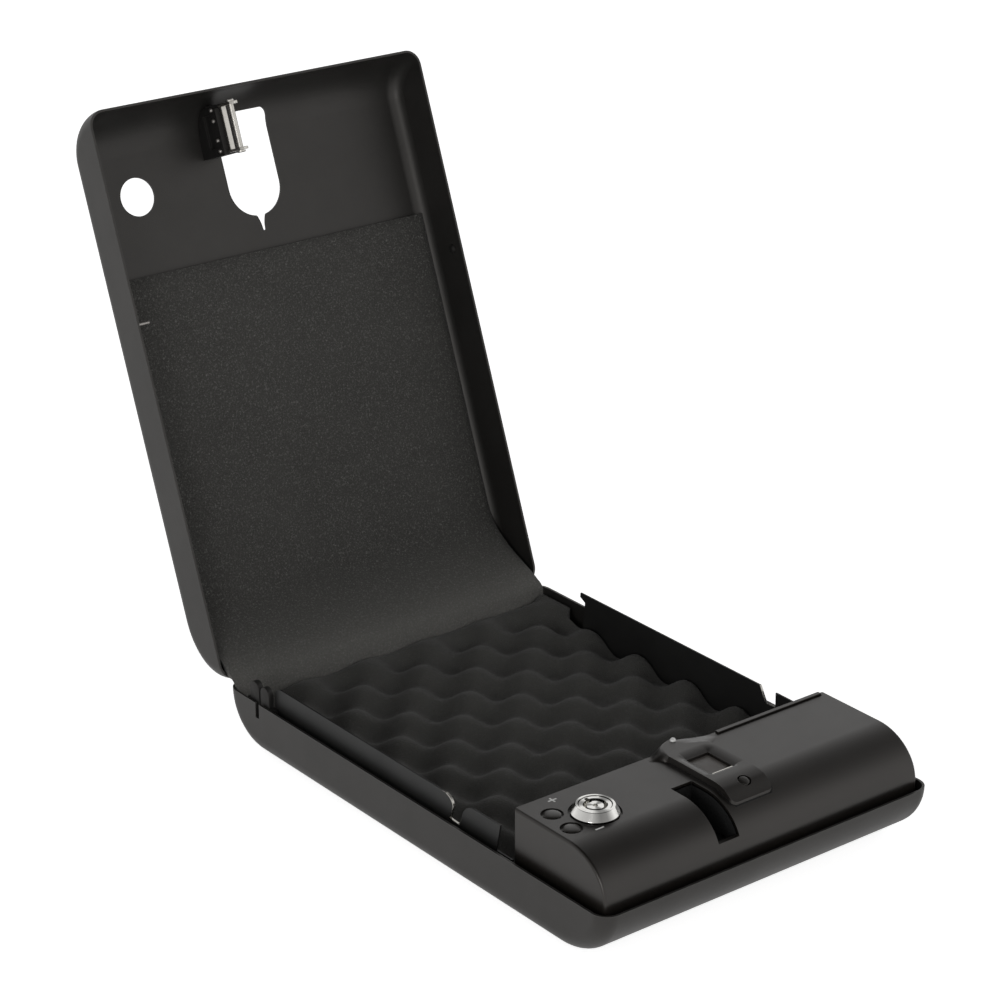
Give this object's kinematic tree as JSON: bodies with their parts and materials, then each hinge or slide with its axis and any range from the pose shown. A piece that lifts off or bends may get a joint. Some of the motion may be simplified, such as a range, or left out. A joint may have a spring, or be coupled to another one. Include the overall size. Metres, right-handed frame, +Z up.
{
  "type": "gun safe",
  "caption": "Clam-shell handgun safe standing open: foam-lined sheet-steel lid and base, with a fingerprint reader, key lock and latch in a front housing.",
  "frame": {"origin": "on the ground under the middle of the closed base", "axes": "+X to the right seen from the front, +Y from the front edge towards the hinge, +Z up"},
  "size_m": [0.2028, 0.4174, 0.2981],
  "materials": {
    "powder_coat": "fine matt black powder coat",
    "housing_plastic": "fine-textured black moulded plastic",
    "liner_steel": "black painted sheet steel with worn bright edges",
    "chrome": "polished chrome",
    "bright_steel": "bright zinc-plated steel",
    "blackened_steel": "blackened steel",
    "egg_crate_foam": "open-cell black egg-crate foam",
    "lid_foam": "speckled charcoal foam sheet",
    "circuit_board": "green solder mask",
    "battery_sleeve": "plain battery sleeve",
    "sensor_glass": "pale grey coated sensor face",
    "led_lens": "clear frosted lens",
    "coil_tape": "amber coil tape"
  },
  "bodies": {
    "base": {"base_shell": "powder_coat", "inner_tray": "liner_steel", "lid_stop_bracket": "liner_steel", "egg_crate_foam": "egg_crate_foam", "foam_tail": "lid_foam", "housing_cover": "housing_plastic", "sensor_bezel": "housing_plastic", "fingerprint_sensor": "sensor_glass", "led_lens": "led_lens", "lock_body": "chrome", "lock_nut": "bright_steel", "circuit_board": "circuit_board", "battery_tray": "liner_steel", "battery_1": "battery_sleeve", "battery_2": "battery_sleeve", "battery_3": "battery_sleeve", "battery_4": "battery_sleeve", "solenoid": "coil_tape", "latch_bracket": "bright_steel", "latch_pin": "blackened_steel", "latch_spring": "bright_steel", "housing_screw_1": "blackened_steel", "housing_screw_2": "blackened_steel", "housing_screw_3": "blackened_steel", "housing_screw_4": "blackened_steel", "base_hinge_leaf_left": "liner_steel", "base_hinge_leaf_right": "liner_steel", "hinge_pin_left": "liner_steel", "hinge_pin_right": "liner_steel", "hinge_spring_left": "bright_steel", "hinge_spring_right": "bright_steel"},
    "lid": {"lid_shell": "powder_coat", "lid_foam": "lid_foam", "striker_block": "blackened_steel", "striker_bracket": "bright_steel", "striker_rod": "bright_steel", "striker_rivet_1": "bright_steel", "striker_rivet_2": "bright_steel", "striker_rivet_3": "bright_steel", "striker_rivet_4": "bright_steel", "lid_stud_left": "bright_steel", "lid_stud_right": "bright_steel", "lid_hinge_leaf_left": "liner_steel", "lid_hinge_leaf_right": "liner_steel"},
    "plug": {"lock_plug": "chrome", "lock_cam": "bright_steel", "cam_screw": "blackened_steel"},
    "latch": {"latch_hook": "bright_steel"},
    "plunger": {"solenoid_plunger": "bright_steel"},
    "door": {"battery_door": "housing_plastic"},
    "enroll": {"enroll_button": "housing_plastic"},
    "delete": {"delete_button": "housing_plastic"},
    "wake": {"wake_button": "housing_plastic"}
  },
  "joints": [
    {"name": "lid_hinge", "type": "hinge", "parent": "base", "child": "lid", "pos_m": [0, 0.14525, 0.0274], "axis": [1, 0, 0], "range_deg": [0, 111.3]},
    {"name": "lock_plug_turn", "type": "hinge", "parent": "base", "child": "plug", "pos_m": [-0.0688, -0.10155, 0.0554], "axis": [0, 0, 1], "range_deg": [0, 90]},
    {"name": "latch_turn", "type": "hinge", "parent": "base", "child": "latch", "pos_m": [-0.033, -0.12505, 0.0132], "axis": [0, 1, 0], "range_deg": [0, 30]},
    {"name": "plunger_slide", "type": "slide", "parent": "base", "child": "plunger", "axis": [1, 0, 0], "range_m": [0, 0.003]},
    {"name": "battery_door_slide", "type": "slide", "parent": "base", "child": "door", "axis": [0, 1, 0], "range_m": [0, 0.012]},
    {"name": "enroll_press", "type": "slide", "parent": "base", "child": "enroll", "axis": [0, 0, -1], "range_m": [0, 0.0008]},
    {"name": "delete_press", "type": "slide", "parent": "base", "child": "delete", "axis": [0, 0, -1], "range_m": [0, 0.0008]},
    {"name": "wake_press", "type": "slide", "parent": "base", "child": "wake", "axis": [0, 0.3584, -0.9336], "range_m": [0, 0.0006]}
  ],
  "couplings": [
    {"joint": "latch_turn", "follows": "plunger_slide", "rad_per_m": 174.5}
  ]
}
